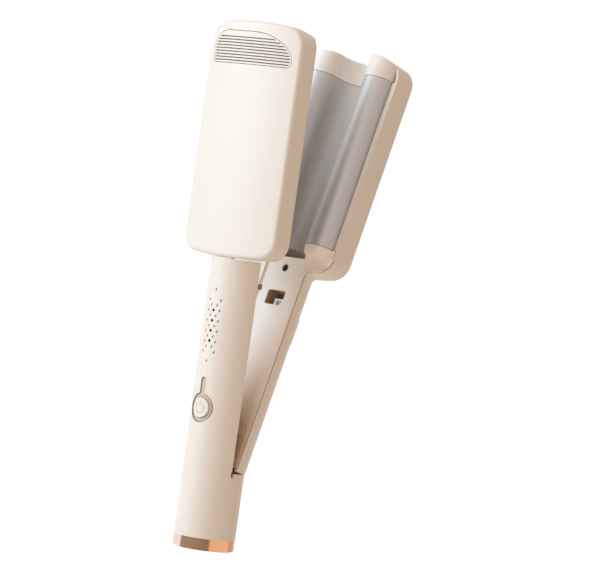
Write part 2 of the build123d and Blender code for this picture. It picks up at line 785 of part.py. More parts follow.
with BuildPart() as back_inner_cover:
    add(cover_base.part)
    add(cover_tray.part)
    add(cover_recess.part, mode=Mode.SUBTRACT)
    # round-topped channel over the hinge, closed behind and open for the hinge cheeks
    cup_back_y = channel_floor_y + channel_wall
    cup_low = hinge_z + lug_radius + 4
    extrude(channel_outline(at_depth(cup_back_y), channel_wall), amount=cup_back_y - cover_face_y - 0.2)
    extrude(channel_outline(at_depth(channel_floor_y), 0), amount=10, mode=Mode.SUBTRACT)
    block((-channel_half, channel_half), (-10, 10), (0, cup_low), mode=Mode.SUBTRACT)
    cheek_half = lug_half_width + fit_gap
    cheek_top = hinge_z + 22.4 + fit_gap
    block((-cheek_half, cheek_half), (-10, 10), (0, cheek_top), mode=Mode.SUBTRACT)
    for side in (-1, 1):
        add(domed_rod(side * ridge_pitch, ridge_radius, (bullet_end, cap_end), bullet_round))
        hollow_span = (bullet_end + 4, cap_end + 1)
        rod_z(side * ridge_pitch, wave_axis_y, ridge_radius - 1.6, hollow_span, mode=Mode.SUBTRACT)
    # valley end between the ridges
    pocket_floor = bullet_end + 0.8
    with BuildSketch(Plane.XY.offset(pocket_floor - 1.2)):
        with Locations((0, wave_axis_y)):
            Circle(valley_radius + plate_thickness)
            Rectangle(beyond, beyond, align=(Align.CENTER, Align.MIN), mode=Mode.INTERSECT)
    extrude(amount=cap_end - pocket_floor + 1.2)
    rod_z(0, wave_axis_y, valley_radius, (pocket_floor, cap_end + 1), mode=Mode.SUBTRACT)
    # latch window and screw boss
    with BuildSketch(at_depth(10)):
        with Locations((0, (window_bottom + window_top) / 2)):
            RectangleRounded(2 * window_half, window_top - window_bottom, window_round)
    extrude(amount=15, mode=Mode.SUBTRACT)
    rod_y(0, screw_z, 3.2, (cover_floor_y + 0.4, screw_seat_y))
    rod_y(0, screw_z, screw_recess, (-5, screw_seat_y - 1), mode=Mode.SUBTRACT)
    rod_y(0, screw_z, 1.1, (-5, screw_seat_y + 1), mode=Mode.SUBTRACT)

with BuildPart() as cover_screw:
    rod_y(0, screw_z, screw_recess - 0.15, (screw_seat_y - 2.2, screw_seat_y - 1))
    rod_y(0, screw_z, 1.0, (screw_seat_y - 1, screw_seat_y + 6))
    slot_depth = (screw_seat_y - 3, screw_seat_y - 1.6)
    block((-1.2, 1.2), slot_depth, (screw_z - 0.25, screw_z + 0.25), mode=Mode.SUBTRACT)

# lock slider: thumb pad outside, keeper and catch inside
with BuildPart() as lock_slider:
    pad_low = neck_bottom - 4
    pad_face = handle_radius + fit_gap + pad_thickness
    pad_span = (pad_low, pad_low + pad_height)
    block((-pad_half_width, pad_half_width), (handle_radius + fit_gap, pad_face), pad_span)
    fillet(lock_slider.faces().sort_by(Axis.Y)[-1].edges(), radius=0.9)
    for index in range(3):
        with Locations((0, pad_face, pad_low + 4 + 4 * index)):
            Cylinder(0.6, 9, rotation=(0, 90, 0))
    block((-slot_half + 0.3, slot_half - 0.3), (keeper_y, handle_radius + 1), (neck_bottom, neck_top_z))
    block((-4.8, 4.8), (keeper_y - 0.4, keeper_y + 1.1), (neck_bottom - 3, catch_top - 1.9))
    block((-catch_half_width, catch_half_width), (catch_back_y, keeper_y), (catch_low, catch_low + 5.6))
    block((-catch_half_width, catch_half_width), (catch_front_y, catch_back_y), (catch_low, catch_top))
    # notched face of the catch, seen through the window
    notch_span = (catch_low + 1, catch_top - 1.1)
    block((-1.9, 1.9), (catch_front_y - 1, catch_front_y + 1.6), notch_span, mode=Mode.SUBTRACT)

with BuildPart() as back_cell:
    cell_y = cover_floor_y + cover_floor_thickness
    cell_half = handle_radius - 6.1
    cell_span = (channel_top + 3.5, neck_bottom - 6)
    block((-cell_half, cell_half), (cell_y, cell_y + cell_thickness), cell_span)
    fillet(back_cell.edges().filter_by(Axis.Z), radius=1.2)

# back wave plate and top cap
with BuildPart() as back_plate_core:
    extrude(back_wave(core_plane, plate_thickness, 30), amount=paddle_height)

with BuildPart() as back_wave_plate:
    extrude(back_wave(plate_plane, 0, 30), amount=plate_length)
    add(back_plate_core.part, mode=Mode.SUBTRACT)
    for side in (-1, 1):
        block(
            sorted((side * ridge_pitch, side * beyond)),
            (skirt_end_y, beyond),
            (plate_bottom - 1, plate_top + 1),
            mode=Mode.SUBTRACT,
        )

with BuildPart() as back_top_cap:
    extrude(back_wave(cap_plane, 0, back_inside_y - fit_gap), amount=above - plate_top)
    add(back_solid(0, -20), mode=Mode.INTERSECT)
    for side in (-1, 1):
        cap_span = (plate_top, cap_hollow_top)
        rod_z(side * ridge_pitch, wave_axis_y, ridge_radius - 1.6, cap_span, mode=Mode.SUBTRACT)

# back heating: one bar, ceramic and clamp in each ridge
back_flat_y = back_clamp_y - clamp_thickness - ceramic_thickness


def back_heater_bar(x):
    """Half-round heater bar that fills one ridge of the back plate."""
    with BuildPart() as bar:
        rod_z(x, wave_axis_y, ridge_radius - plate_thickness - press_gap, (heater_start, heater_end))
        bar_span = (heater_start - 1, heater_end + 1)
        block((x - 12, x + 12), (back_flat_y, 20), bar_span, mode=Mode.SUBTRACT)
    return bar.part


def back_ceramic(x):
    """Ceramic heating element on the flat of a bar."""
    with BuildPart() as plate:
        depth_span = (back_flat_y, back_flat_y + ceramic_thickness)
        half = ridge_radius - 5.4
        block((x - half, x + half), depth_span, (ceramic_start, ceramic_end))
    return plate.part


def back_clamp(x):
    """Clamp strip that presses one ceramic against its bar."""
    with BuildPart() as strip:
        half = ridge_radius - 3.9
        block((x - half, x + half), (back_clamp_y - clamp_thickness, back_clamp_y), clamp_span)
        fillet(strip.edges().filter_by(Axis.Y), radius=3)
    return strip.part


with BuildPart() as back_heater_bar_left:
    add(back_heater_bar(-ridge_pitch))

with BuildPart() as back_heater_bar_right:
    add(back_heater_bar(ridge_pitch))

with BuildPart() as back_ceramic_left:
    add(back_ceramic(-ridge_pitch))

with BuildPart() as back_ceramic_right:
    add(back_ceramic(ridge_pitch))

with BuildPart() as back_clamp_left:
    add(back_clamp(-ridge_pitch))

with BuildPart() as back_clamp_right:
    add(back_clamp(ridge_pitch))

with BuildPart() as back_thermal_cutout:
    block(
        (ridge_pitch - 3, ridge_pitch + 3),
        (back_clamp_y, back_clamp_y + 3),
        (cutout_low, cutout_low + cutout_length),
    )
    fillet(back_thermal_cutout.edges().filter_by(Axis.Z), radius=0.8)

# the back arm is swung from the closed pose to the open rest pose
to_hinge = Pos(0, hinge_y, hinge_z)
opened = to_hinge * Rot(-opening_angle, 0, 0) * to_hinge.inverse()
back_shell.part = opened * back_shell.part
back_inner_cover.part = opened * back_inner_cover.part
cover_screw.part = opened * cover_screw.part
lock_slider.part = opened * lock_slider.part
back_cell.part = opened * back_cell.part
back_wave_plate.part = opened * back_wave_plate.part
back_top_cap.part = opened * back_top_cap.part
back_heater_bar_left.part = opened * back_heater_bar_left.part
back_heater_bar_right.part = opened * back_heater_bar_right.part
back_ceramic_left.part = opened * back_ceramic_left.part
back_ceramic_right.part = opened * back_ceramic_right.part
back_clamp_left.part = opened * back_clamp_left.part
back_clamp_right.part = opened * back_clamp_right.part
back_thermal_cutout.part = opened * back_thermal_cutout.part

front_handle_shell.part.label = "front_handle_shell"
export_step(front_handle_shell.part, "parts/front_handle_shell.step")
base_cap.part.label = "base_cap"
export_step(base_cap.part, "parts/base_cap.step")
base_ring.part.label = "base_ring"
export_step(base_ring.part, "parts/base_ring.step")
usb_socket.part.label = "usb_socket"
export_step(usb_socket.part, "parts/usb_socket.step")
charge_board.part.label = "charge_board"
export_step(charge_board.part, "parts/charge_board.step")
hinge_bracket.part.label = "hinge_bracket"
export_step(hinge_bracket.part, "parts/hinge_bracket.step")
hinge_pin.part.label = "hinge_pin"
export_step(hinge_pin.part, "parts/hinge_pin.step")
hinge_spring.part.label = "hinge_spring"
export_step(hinge_spring.part, "parts/hinge_spring.step")
control_board.part.label = "control_board"
export_step(control_board.part, "parts/control_board.step")
tact_switch.part.label = "tact_switch"
export_step(tact_switch.part, "parts/tact_switch.step")
light_pipes.part.label = "light_pipes"
export_step(light_pipes.part, "parts/light_pipes.step")
front_cell.part.label = "front_cell"
export_step(front_cell.part, "parts/front_cell.step")
button_plate.part.label = "button_plate"
export_step(button_plate.part, "parts/button_plate.step")
power_button.part.label = "power_button"
export_step(power_button.part, "parts/power_button.step")
front_inner_cover.part.label = "front_inner_cover"
export_step(front_inner_cover.part, "parts/front_inner_cover.step")
latch_hook.part.label = "latch_hook"
export_step(latch_hook.part, "parts/latch_hook.step")
front_paddle.part.label = "front_paddle"
export_step(front_paddle.part, "parts/front_paddle.step")
vent_grille.part.label = "vent_grille"
export_step(vent_grille.part, "parts/vent_grille.step")
vent_filter.part.label = "vent_filter"
export_step(vent_filter.part, "parts/vent_filter.step")
front_wave_plate.part.label = "front_wave_plate"
export_step(front_wave_plate.part, "parts/front_wave_plate.step")
front_top_cap.part.label = "front_top_cap"
export_step(front_top_cap.part, "parts/front_top_cap.step")
front_bottom_cap.part.label = "front_bottom_cap"
export_step(front_bottom_cap.part, "parts/front_bottom_cap.step")
front_heater_bar.part.label = "front_heater_bar"
export_step(front_heater_bar.part, "parts/front_heater_bar.step")
front_ceramic.part.label = "front_ceramic"
export_step(front_ceramic.part, "parts/front_ceramic.step")
front_heater_clamp.part.label = "front_heater_clamp"
export_step(front_heater_clamp.part, "parts/front_heater_clamp.step")
front_thermal_cutout.part.label = "front_thermal_cutout"
export_step(front_thermal_cutout.part, "parts/front_thermal_cutout.step")
back_shell.part.label = "back_shell"
export_step(back_shell.part, "parts/back_shell.step")
back_inner_cover.part.label = "back_inner_cover"
export_step(back_inner_cover.part, "parts/back_inner_cover.step")
cover_screw.part.label = "cover_screw"
export_step(cover_screw.part, "parts/cover_screw.step")
lock_slider.part.label = "lock_slider"
export_step(lock_slider.part, "parts/lock_slider.step")
back_cell.part.label = "back_cell"
export_step(back_cell.part, "parts/back_cell.step")
back_wave_plate.part.label = "back_wave_plate"
export_step(back_wave_plate.part, "parts/back_wave_plate.step")
back_top_cap.part.label = "back_top_cap"
export_step(back_top_cap.part, "parts/back_top_cap.step")
back_heater_bar_left.part.label = "back_heater_bar_left"
export_step(back_heater_bar_left.part, "parts/back_heater_bar_left.step")
back_heater_bar_right.part.label = "back_heater_bar_right"
export_step(back_heater_bar_right.part, "parts/back_heater_bar_right.step")
back_ceramic_left.part.label = "back_ceramic_left"
export_step(back_ceramic_left.part, "parts/back_ceramic_left.step")
back_ceramic_right.part.label = "back_ceramic_right"
export_step(back_ceramic_right.part, "parts/back_ceramic_right.step")
back_clamp_left.part.label = "back_clamp_left"
export_step(back_clamp_left.part, "parts/back_clamp_left.step")
back_clamp_right.part.label = "back_clamp_right"
export_step(back_clamp_right.part, "parts/back_clamp_right.step")
back_thermal_cutout.part.label = "back_thermal_cutout"
export_step(back_thermal_cutout.part, "parts/back_thermal_cutout.step")
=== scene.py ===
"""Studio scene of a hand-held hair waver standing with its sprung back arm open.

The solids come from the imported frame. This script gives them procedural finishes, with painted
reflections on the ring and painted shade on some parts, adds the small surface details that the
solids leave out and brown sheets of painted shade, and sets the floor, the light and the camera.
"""

import json
import logging
import math
from dataclasses import dataclass
from enum import Enum
from typing import Any, ClassVar, Dict, Iterable, Sequence, Tuple

import bpy
import numpy as np
from mathutils import Matrix, Vector

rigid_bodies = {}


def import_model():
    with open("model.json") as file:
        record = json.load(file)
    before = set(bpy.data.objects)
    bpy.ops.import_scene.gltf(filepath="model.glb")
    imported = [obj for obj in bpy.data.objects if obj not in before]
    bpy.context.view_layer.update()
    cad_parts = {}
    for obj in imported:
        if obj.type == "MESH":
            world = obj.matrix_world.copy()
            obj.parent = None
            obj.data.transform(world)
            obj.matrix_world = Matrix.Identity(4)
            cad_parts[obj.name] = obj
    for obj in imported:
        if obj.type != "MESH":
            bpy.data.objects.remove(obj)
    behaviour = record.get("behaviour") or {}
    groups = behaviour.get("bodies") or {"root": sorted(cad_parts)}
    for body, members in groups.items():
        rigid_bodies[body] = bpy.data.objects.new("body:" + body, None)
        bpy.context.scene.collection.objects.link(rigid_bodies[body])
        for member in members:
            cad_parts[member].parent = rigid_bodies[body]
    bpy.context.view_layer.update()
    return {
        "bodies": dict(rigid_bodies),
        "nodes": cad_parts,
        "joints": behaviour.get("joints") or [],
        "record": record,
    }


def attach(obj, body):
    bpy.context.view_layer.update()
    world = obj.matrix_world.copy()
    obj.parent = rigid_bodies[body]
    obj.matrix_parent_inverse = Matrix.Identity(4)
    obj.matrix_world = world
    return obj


LOG = logging.getLogger("waver")

Colour = Tuple[float, float, float]
Point = Tuple[float, float, float]

MM = 0.001

# sizes that several pieces share, in millimetres and degrees
HANDLE_RADIUS = 17.7
BUTTON_Z = 79.9
HINGE_Y = 6.0
HINGE_Z = 43.6
OPENING_ANGLE = 16.2


def swung_open(points: np.ndarray) -> np.ndarray:
    """Turns points of the closed back arm about the hinge line to the open rest pose.

    Args:
        points: N by 3 array in millimetres.

    Returns:
        N by 3 array in millimetres.
    """
    angle = math.radians(OPENING_ANGLE)
    depth = points[:, 1] - HINGE_Y
    height = points[:, 2] - HINGE_Z
    return np.column_stack(
        (
            points[:, 0],
            HINGE_Y + depth * math.cos(angle) + height * math.sin(angle),
            HINGE_Z - depth * math.sin(angle) + height * math.cos(angle),
        )
    )


def ribbon_faces(count: int, start: int = 0) -> np.ndarray:
    """Quads between two rows of points: a point, the next one and the two across from them.

    Args:
        count: Points in each row.
        start: Index of the first point.

    Returns:
        N by 4 array of indices.
    """
    first = start + np.arange(count - 1)
    return np.column_stack((first, first + 1, first + count + 1, first + count))


class Body(Enum):
    """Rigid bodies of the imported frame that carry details."""

    FRONT = "front_arm"
    BACK = "back_arm"
    BUTTON = "button"


class Look(Enum):
    """Finishes, under the names of their material slots."""

    CREAM_SHELL = "cream_shell"
    CREAM_INNER = "cream_inner"
    COVER_PAINTED_SHADE = "cover_shade"
    CREAM_GRILLE = "cream_grille"
    CREAM_BUTTON = "cream_button"
    TAUPE_PLATE = "taupe_plate"
    ROSE_RING = "rose_ring"
    WAVE_PLATE = "wave_plate"
    FILTER_MESH = "filter_mesh"
    STEEL = "steel"
    SPRING_STEEL = "spring_steel"
    HEATER_BAR = "heater_bar"
    CELL_FOIL = "cell_foil"
    CERAMIC = "ceramic"
    BOARD = "board"
    SWITCH_BLACK = "switch_black"
    LIGHT_PIPE = "light_pipe"
    MARK_BROWN = "mark_brown"
    SCREW_BRONZE = "screw_bronze"
    PAINTED_SHADE_BROWN = "hook_brown"
    WINDOW_SHADE_BROWN = "lining_brown"
    VALLEY_SHADE_BROWN = "pad_brown"
    SEAM_BROWN = "seam_brown"
    MARK_SOFT = "mark_soft"


class PaintedLightAxis(Enum):
    """What the painted light bands of a finish follow."""

    TURN = "fraction of a turn round Z"
    HEIGHT = "fraction of the height range"


@dataclass(frozen=True)
class Finish:
    """Look of one material slot.

    Attributes:
        colour: Base colour, linear.
        accent: Colour that the fine variation drifts to, linear.
        roughness: Mean roughness.
        roughness_spread: Change of roughness over the variation.
        metallic: Metallic value.
        coat: Clear coat weight.
        variation_scale: Scale of the slow variation, per metre.
        grain_scale: Scale of the fine grain, per metre.
        bump: Strength of the grain in the normal.
        stretch: Scale of the grain along Z against X and Y.
        drift_range: Noise values at which the drift starts and ends.
        specular: Specular level.
        painted_light_bands: Place and colour of each band of painted light, painted reflections
            round Z and painted shade along the height; they take the place of both colours.
        painted_light_axis: What the places of the painted light bands follow.
        height_range: Heights at places zero and one, in metres, for painted light bands along the
            height.
    """

    colour: Colour
    accent: Colour
    roughness: float
    roughness_spread: float = 0.06
    metallic: float = 0.0
    coat: float = 0.0
    variation_scale: float = 30.0
    grain_scale: float = 2500.0
    bump: float = 0.05
    stretch: float = 1.0
    drift_range: Tuple[float, float] = (0.25, 0.75)
    specular: float = 0.5
    painted_light_bands: Tuple[Tuple[float, Colour], ...] = ()
    painted_light_axis: PaintedLightAxis = PaintedLightAxis.TURN
    height_range: Tuple[float, float] = (0.0, 1.0)


FINISHES: Dict[Look, Finish] = {
    Look.CREAM_SHELL: Finish(
        (0.863, 0.807, 0.753), (0.850, 0.790, 0.733), 0.42, bump=0.06, coat=0.05
    ),
    # Lighter copy of the shell cream: painted light that brightens the inner covers and caps where
    # the arms shade each other.
    Look.CREAM_INNER: Finish((0.925, 0.880, 0.835), (0.905, 0.857, 0.808), 0.45, bump=0.06),
    # Painted shade on the back inner cover: brown towards the hinge, where the front arm shades it,
    # and painted light making the top lighter.
    Look.COVER_PAINTED_SHADE: Finish(
        (0.925, 0.880, 0.835),
        (0.905, 0.857, 0.808),
        0.45,
        bump=0.06,
        painted_light_bands=(
            (0.00, (0.68, 0.51, 0.36)),
            (0.25, (0.70, 0.54, 0.40)),
            (0.45, (0.74, 0.63, 0.52)),
            (0.62, (0.88, 0.81, 0.74)),
            (0.85, (0.985, 0.905, 0.835)),
        ),
        painted_light_axis=PaintedLightAxis.HEIGHT,
        height_range=(0.045, 0.120),
    ),
    Look.CREAM_GRILLE: Finish((0.863, 0.807, 0.753), (0.850, 0.790, 0.733), 0.45, bump=0.05),
    Look.CREAM_BUTTON: Finish((0.870, 0.818, 0.768), (0.855, 0.800, 0.746), 0.38, bump=0.04),
    Look.TAUPE_PLATE: Finish(
        (0.60, 0.49, 0.41), (0.54, 0.44, 0.36), 0.32, metallic=0.15, bump=0.03
    ),
    # The bands round the ring are painted reflections: dark, copper and pale tones fixed to the
    # angle round Z.
    Look.ROSE_RING: Finish(
        (0.92, 0.60, 0.42),
        (0.84, 0.54, 0.37),
        0.20,
        metallic=1.0,
        bump=0.01,
        painted_light_bands=(
            (0.000, (0.376, 0.246, 0.159)),
            (0.006, (0.376, 0.246, 0.159)),
            (0.014, (0.78, 0.64, 0.57)),
            (0.130, (0.72, 0.56, 0.48)),
            (0.200, (0.30, 0.18, 0.115)),
            (0.330, (0.73, 0.38, 0.22)),
            (0.450, (0.80, 0.64, 0.55)),
            (0.500, (0.28, 0.17, 0.11)),
            (0.600, (0.34, 0.20, 0.13)),
            (0.630, (0.55, 0.22, 0.10)),
            (0.715, (0.56, 0.23, 0.105)),
            (0.735, (0.74, 0.38, 0.22)),
            (0.838, (0.72, 0.36, 0.20)),
            (0.852, (0.235, 0.13, 0.07)),
            (0.930, (0.30, 0.18, 0.11)),
        ),
    ),
    Look.WAVE_PLATE: Finish(
        (0.560, 0.525, 0.502),
        (0.525, 0.487, 0.465),
        0.48,
        metallic=0.4,
        bump=0.04,
        stretch=0.1,
        grain_scale=1600.0,
    ),
    Look.FILTER_MESH: Finish(
        (0.55, 0.45, 0.37), (0.47, 0.38, 0.31), 0.80, bump=0.35, grain_scale=1500.0
    ),
    Look.STEEL: Finish((0.46, 0.37, 0.29), (0.38, 0.30, 0.23), 0.34, metallic=1.0, bump=0.03),
    Look.SPRING_STEEL: Finish(
        (0.42, 0.42, 0.43), (0.36, 0.36, 0.37), 0.32, metallic=1.0, bump=0.03
    ),
    Look.HEATER_BAR: Finish(
        (0.56, 0.56, 0.57), (0.50, 0.50, 0.51), 0.38, metallic=1.0, bump=0.04, stretch=0.05
    ),
    Look.CELL_FOIL: Finish((0.52, 0.53, 0.55), (0.46, 0.47, 0.49), 0.35, metallic=0.8, bump=0.05),
    Look.CERAMIC: Finish((0.80, 0.80, 0.76), (0.76, 0.76, 0.72), 0.50, bump=0.04),
    Look.BOARD: Finish((0.012, 0.075, 0.035), (0.010, 0.060, 0.028), 0.40, coat=0.3, bump=0.03),
    Look.SWITCH_BLACK: Finish((0.020, 0.019, 0.018), (0.028, 0.026, 0.025), 0.45, bump=0.04),
    Look.LIGHT_PIPE: Finish(
        (0.030, 0.012, 0.004), (0.024, 0.010, 0.003), 0.70, bump=0.01, specular=0.0
    ),
    Look.MARK_BROWN: Finish((0.16, 0.105, 0.070), (0.13, 0.085, 0.055), 0.55, bump=0.02),
    Look.SCREW_BRONZE: Finish(
        (0.085, 0.045, 0.025), (0.065, 0.034, 0.019), 0.50, bump=0.03, specular=0.15
    ),
    # Painted shade: dark brown for the latch hook and the screw recess, which lie in shade.
    Look.PAINTED_SHADE_BROWN: Finish((0.30, 0.20, 0.135), (0.26, 0.17, 0.115), 0.48, bump=0.05),
    # Painted shade: brown for the sheet behind the latch window.
    Look.WINDOW_SHADE_BROWN: Finish((0.62, 0.42, 0.28), (0.56, 0.38, 0.25), 0.55, bump=0.04),
    # Painted shade: brown for the sheet in the valley pocket.
    Look.VALLEY_SHADE_BROWN: Finish((0.50, 0.385, 0.31), (0.45, 0.34, 0.27), 0.60, bump=0.06),
    Look.SEAM_BROWN: Finish(
        (0.17, 0.105, 0.065), (0.14, 0.085, 0.052), 0.60, bump=0.03, specular=0.2
    ),
    Look.MARK_SOFT: Finish((0.50, 0.39, 0.31), (0.46, 0.36, 0.28), 0.50, bump=0.02),
}


class MaterialLibrary:
    """Builds and keeps one procedural material per finish, on two shared node groups."""

    VARIATION_DETAIL = 3.0
    GRAIN_DETAIL = 2.0
    GRAIN_DEPTH = 0.0001
    COAT_ROUGHNESS = 0.15

    def __init__(self) -> None:
        """Creates the shared groups."""
        self._materials: Dict[Look, bpy.types.Material] = {}
        self._variation = self._variation_group()
        self._grain = self._grain_group()

    @staticmethod
    def _add_inputs(group: bpy.types.NodeTree, inputs: Sequence[Tuple[str, str, Any]]) -> None:
        """Gives a group its named inputs.

        Args:
            group: Node group.
            inputs: Name, socket type and first value of each input.
        """
        for name, kind, default in inputs:
            socket = group.interface.new_socket(name=name, in_out="INPUT", socket_type=kind)
            socket.default_value = default

    @classmethod
    def _variation_group(cls) -> bpy.types.NodeTree:
        """Group that drifts between two colours and two roughness values.

        Returns:
            The node group.
        """
        group = bpy.data.node_groups.new("SlowVariation", "ShaderNodeTree")
        cls._add_inputs(
            group,
            (
                ("Vector", "NodeSocketVector", (0.0, 0.0, 0.0)),
                ("Scale", "NodeSocketFloat", 30.0),
                ("Colour", "NodeSocketColor", (0.8, 0.8, 0.8, 1.0)),
                ("Accent", "NodeSocketColor", (0.7, 0.7, 0.7, 1.0)),
                ("Roughness Low", "NodeSocketFloat", 0.3),
                ("Roughness High", "NodeSocketFloat", 0.4),
                ("Drift Start", "NodeSocketFloat", 0.25),
                ("Drift End", "NodeSocketFloat", 0.75),
            ),
        )
        face = group.interface
        face.new_socket(name="Colour", in_out="OUTPUT", socket_type="NodeSocketColor")
        face.new_socket(name="Roughness", in_out="OUTPUT", socket_type="NodeSocketFloat")
        nodes, links = group.nodes, group.links
        entry = nodes.new("NodeGroupInput")
        leave = nodes.new("NodeGroupOutput")
        noise = nodes.new("ShaderNodeTexNoise")
        noise.inputs["Detail"].default_value = cls.VARIATION_DETAIL
        mix = nodes.new("ShaderNodeMix")
        mix.data_type = "RGBA"
        drift = nodes.new("ShaderNodeMapRange")
        spread = nodes.new("ShaderNodeMapRange")
        links.new(entry.outputs["Vector"], noise.inputs["Vector"])
        links.new(entry.outputs["Scale"], noise.inputs["Scale"])
        links.new(noise.outputs["Fac"], drift.inputs["Value"])
        links.new(entry.outputs["Drift Start"], drift.inputs["From Min"])
        links.new(entry.outputs["Drift End"], drift.inputs["From Max"])
        links.new(drift.outputs["Result"], mix.inputs["Factor"])
        links.new(entry.outputs["Colour"], mix.inputs["A"])
        links.new(entry.outputs["Accent"], mix.inputs["B"])
        links.new(noise.outputs["Fac"], spread.inputs["Value"])
        links.new(entry.outputs["Roughness Low"], spread.inputs["To Min"])
        links.new(entry.outputs["Roughness High"], spread.inputs["To Max"])
        links.new(mix.outputs["Result"], leave.inputs["Colour"])
        links.new(spread.outputs["Result"], leave.inputs["Roughness"])
        return group

    @classmethod
    def _grain_group(cls) -> bpy.types.NodeTree:
        """Group that turns fine noise into a normal.

        Returns:
            The node group.
        """
        group = bpy.data.node_groups.new("FineGrain", "ShaderNodeTree")
        cls._add_inputs(
            group,
            (
                ("Vector", "NodeSocketVector", (0.0, 0.0, 0.0)),
                ("Scale", "NodeSocketFloat", 2500.0),
                ("Strength", "NodeSocketFloat", 0.05),
            ),
        )
        group.interface.new_socket(name="Normal", in_out="OUTPUT", socket_type="NodeSocketVector")
        nodes, links = group.nodes, group.links
        entry = nodes.new("NodeGroupInput")
        leave = nodes.new("NodeGroupOutput")
        noise = nodes.new("ShaderNodeTexNoise")
        noise.inputs["Detail"].default_value = cls.GRAIN_DETAIL
        bump = nodes.new("ShaderNodeBump")
        bump.inputs["Distance"].default_value = cls.GRAIN_DEPTH
        links.new(entry.outputs["Vector"], noise.inputs["Vector"])
        links.new(entry.outputs["Scale"], noise.inputs["Scale"])
        links.new(noise.outputs["Fac"], bump.inputs["Height"])
        links.new(entry.outputs["Strength"], bump.inputs["Strength"])
        links.new(bump.outputs["Normal"], leave.inputs["Normal"])
        return group

    def get(self, look: Look) -> bpy.types.Material:
        """Material of one finish, built on first use.

        Args:
            look: The finish.

        Returns:
            The material.
        """
        if look not in self._materials:
            self._materials[look] = self._build(look.value, FINISHES[look])
        return self._materials[look]

    def _build(self, name: str, finish: Finish) -> bpy.types.Material:
        """Builds one material from its finish.

        Args:
            name: Name of the material.
            finish: Values to use.

        Returns:
            The new material.
        """
        material = bpy.data.materials.new(name)
        material.use_nodes = True
        nodes, links = material.node_tree.nodes, material.node_tree.links
        shader = nodes["Principled BSDF"]
        coords = nodes.new("ShaderNodeTexCoord")
        stretch = nodes.new("ShaderNodeMapping")
        stretch.inputs["Scale"].default_value = (1.0, 1.0, finish.stretch)
        links.new(coords.outputs["Object"], stretch.inputs["Vector"])
        drift = nodes.new("ShaderNodeGroup")
        drift.node_tree = self._variation
        half_spread = finish.roughness_spread / 2
        drift.inputs["Scale"].default_value = finish.variation_scale
        drift.inputs["Colour"].default_value = (*finish.colour, 1.0)
        drift.inputs["Accent"].default_value = (*finish.accent, 1.0)
        drift.inputs["Roughness Low"].default_value = finish.roughness - half_spread
        drift.inputs["Roughness High"].default_value = finish.roughness + half_spread
        drift.inputs["Drift Start"].default_value = finish.drift_range[0]
        drift.inputs["Drift End"].default_value = finish.drift_range[1]
        links.new(stretch.outputs["Vector"], drift.inputs["Vector"])
        # Bands of painted reflection or painted shade take the place of the base and accent
        # colours.
        if finish.painted_light_bands:
            ramp = self._painted_light_ramp(nodes, links, coords, finish)
            links.new(ramp, drift.inputs["Colour"])
            links.new(ramp, drift.inputs["Accent"])
        grain = nodes.new("ShaderNodeGroup")
        grain.node_tree = self._grain
        grain.inputs["Scale"].default_value = finish.grain_scale
        grain.inputs["Strength"].default_value = finish.bump
        links.new(stretch.outputs["Vector"], grain.inputs["Vector"])
        links.new(drift.outputs["Colour"], shader.inputs["Base Color"])
        links.new(drift.outputs["Roughness"], shader.inputs["Roughness"])
        links.new(grain.outputs["Normal"], shader.inputs["Normal"])
        shader.inputs["Metallic"].default_value = finish.metallic
        shader.inputs["Coat Weight"].default_value = finish.coat
        shader.inputs["Coat Roughness"].default_value = self.COAT_ROUGHNESS
        shader.inputs["Specular IOR Level"].default_value = finish.specular
        return material

    @staticmethod
    def _painted_light_ramp(
        nodes: bpy.types.Nodes,
        links: bpy.types.NodeLinks,
        coords: bpy.types.Node,
        finish: Finish,
    ) -> bpy.types.NodeSocket:
        """Painted light: colour that changes with the angle round Z, for painted reflections on the
        ring, or with the height, for painted shade on the back inner cover.

        Args:
            nodes: Nodes of the material.
            links: Links of the same material.
            coords: Texture coordinate node.
            finish: Finish with the bands.

        Returns:
            The socket with the colour.
        """
        split = nodes.new("ShaderNodeSeparateXYZ")
        links.new(coords.outputs["Object"], split.inputs["Vector"])
        place_map = nodes.new("ShaderNodeMapRange")
        if finish.painted_light_axis is PaintedLightAxis.TURN:
            angle = nodes.new("ShaderNodeMath")
            angle.operation = "ARCTAN2"
            links.new(split.outputs["X"], angle.inputs[0])
            links.new(split.outputs["Y"], angle.inputs[1])
            links.new(angle.outputs[0], place_map.inputs["Value"])
            low, high = -math.pi, math.pi
        else:
            links.new(split.outputs["Z"], place_map.inputs["Value"])
            low, high = finish.height_range
        place_map.inputs["From Min"].default_value = low
        place_map.inputs["From Max"].default_value = high
        ramp = nodes.new("ShaderNodeValToRGB")
        links.new(place_map.outputs["Result"], ramp.inputs["Fac"])
        stops = ramp.color_ramp.elements
        while len(stops) < len(finish.painted_light_bands):
            stops.new(1.0)
        for stop, (place, colour) in zip(stops, finish.painted_light_bands):
            stop.position = place
            stop.color = (*colour, 1.0)
        return ramp.outputs["Color"]


